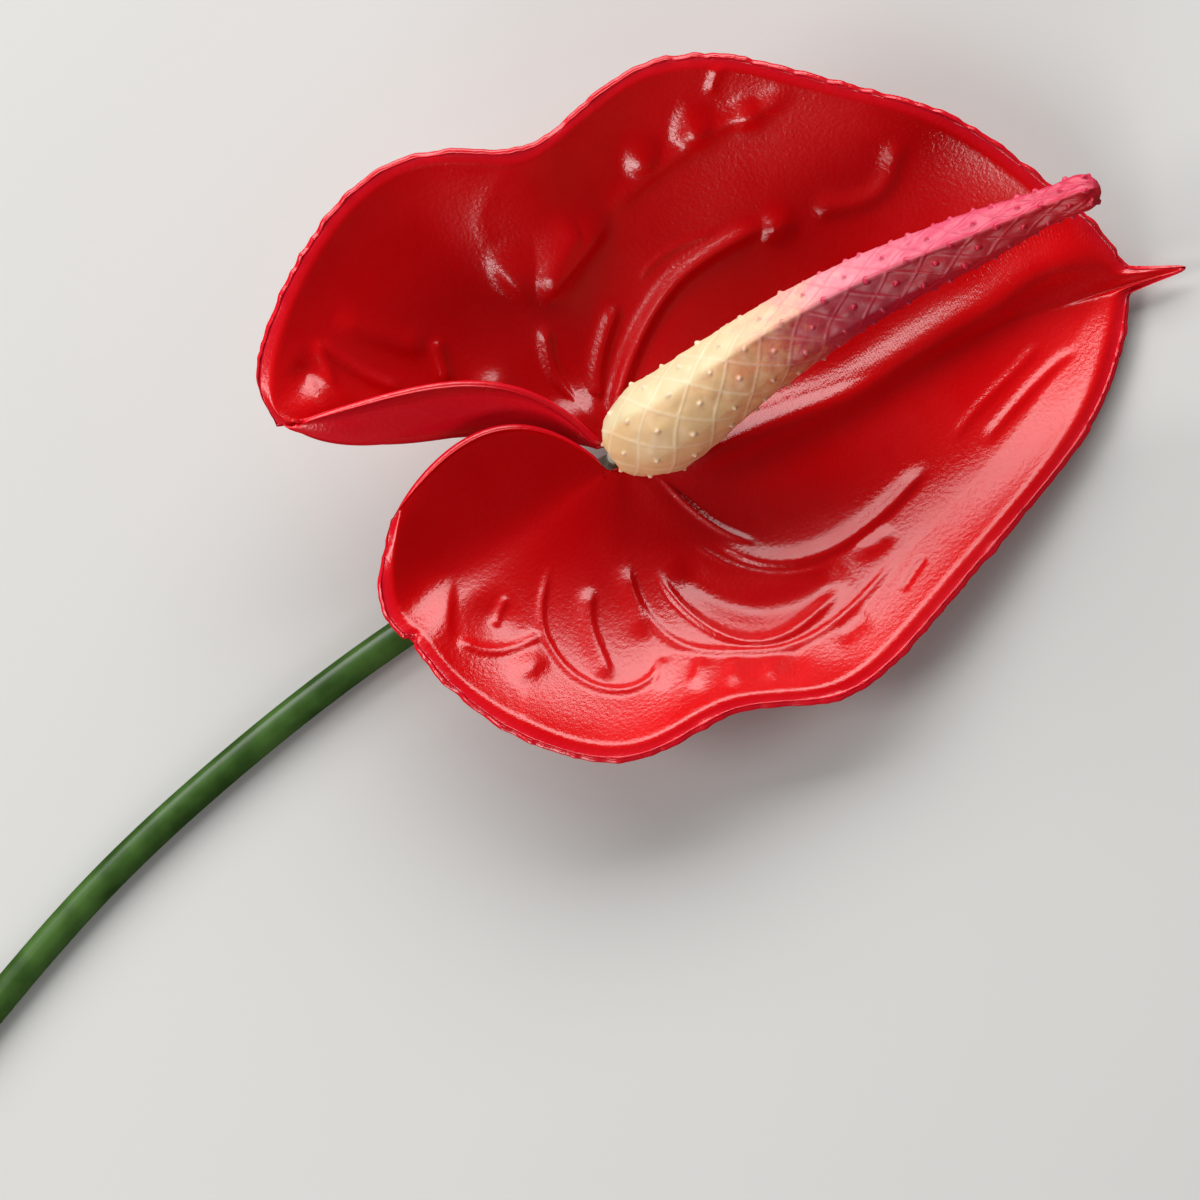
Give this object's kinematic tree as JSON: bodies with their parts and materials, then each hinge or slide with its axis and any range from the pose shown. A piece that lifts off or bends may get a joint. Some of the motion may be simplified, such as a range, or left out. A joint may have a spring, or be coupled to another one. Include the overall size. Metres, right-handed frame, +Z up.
{
  "type": "cut anthurium stem",
  "caption": "Cut anthurium flower lying face up: a long round green stem, a glossy red heart-shaped spathe with a rolled lobe, and a cream to pink spadix.",
  "frame": {"origin": "middle of the underside of the whole flower as it lies, on the surface it rests on", "axes": "+X along the stem from its cut end to the flower, +Z up, out of the spathe's face"},
  "size_m": [0.366, 0.0896, 0.0377],
  "materials": {
    "spathe": "waxy gloss red with raised veins and fine grain",
    "spadix": "satin, cream at the base turning pink to crimson at the tip, raised lattice and dots",
    "stem": "satin green, faint lengthwise ribs",
    "collar": "matt pale grey-green"
  },
  "bodies": {
    "root": {"spathe": "spathe", "spadix": "spadix", "stem": "stem", "stem_collar": "collar"}
  },
  "joints": []
}
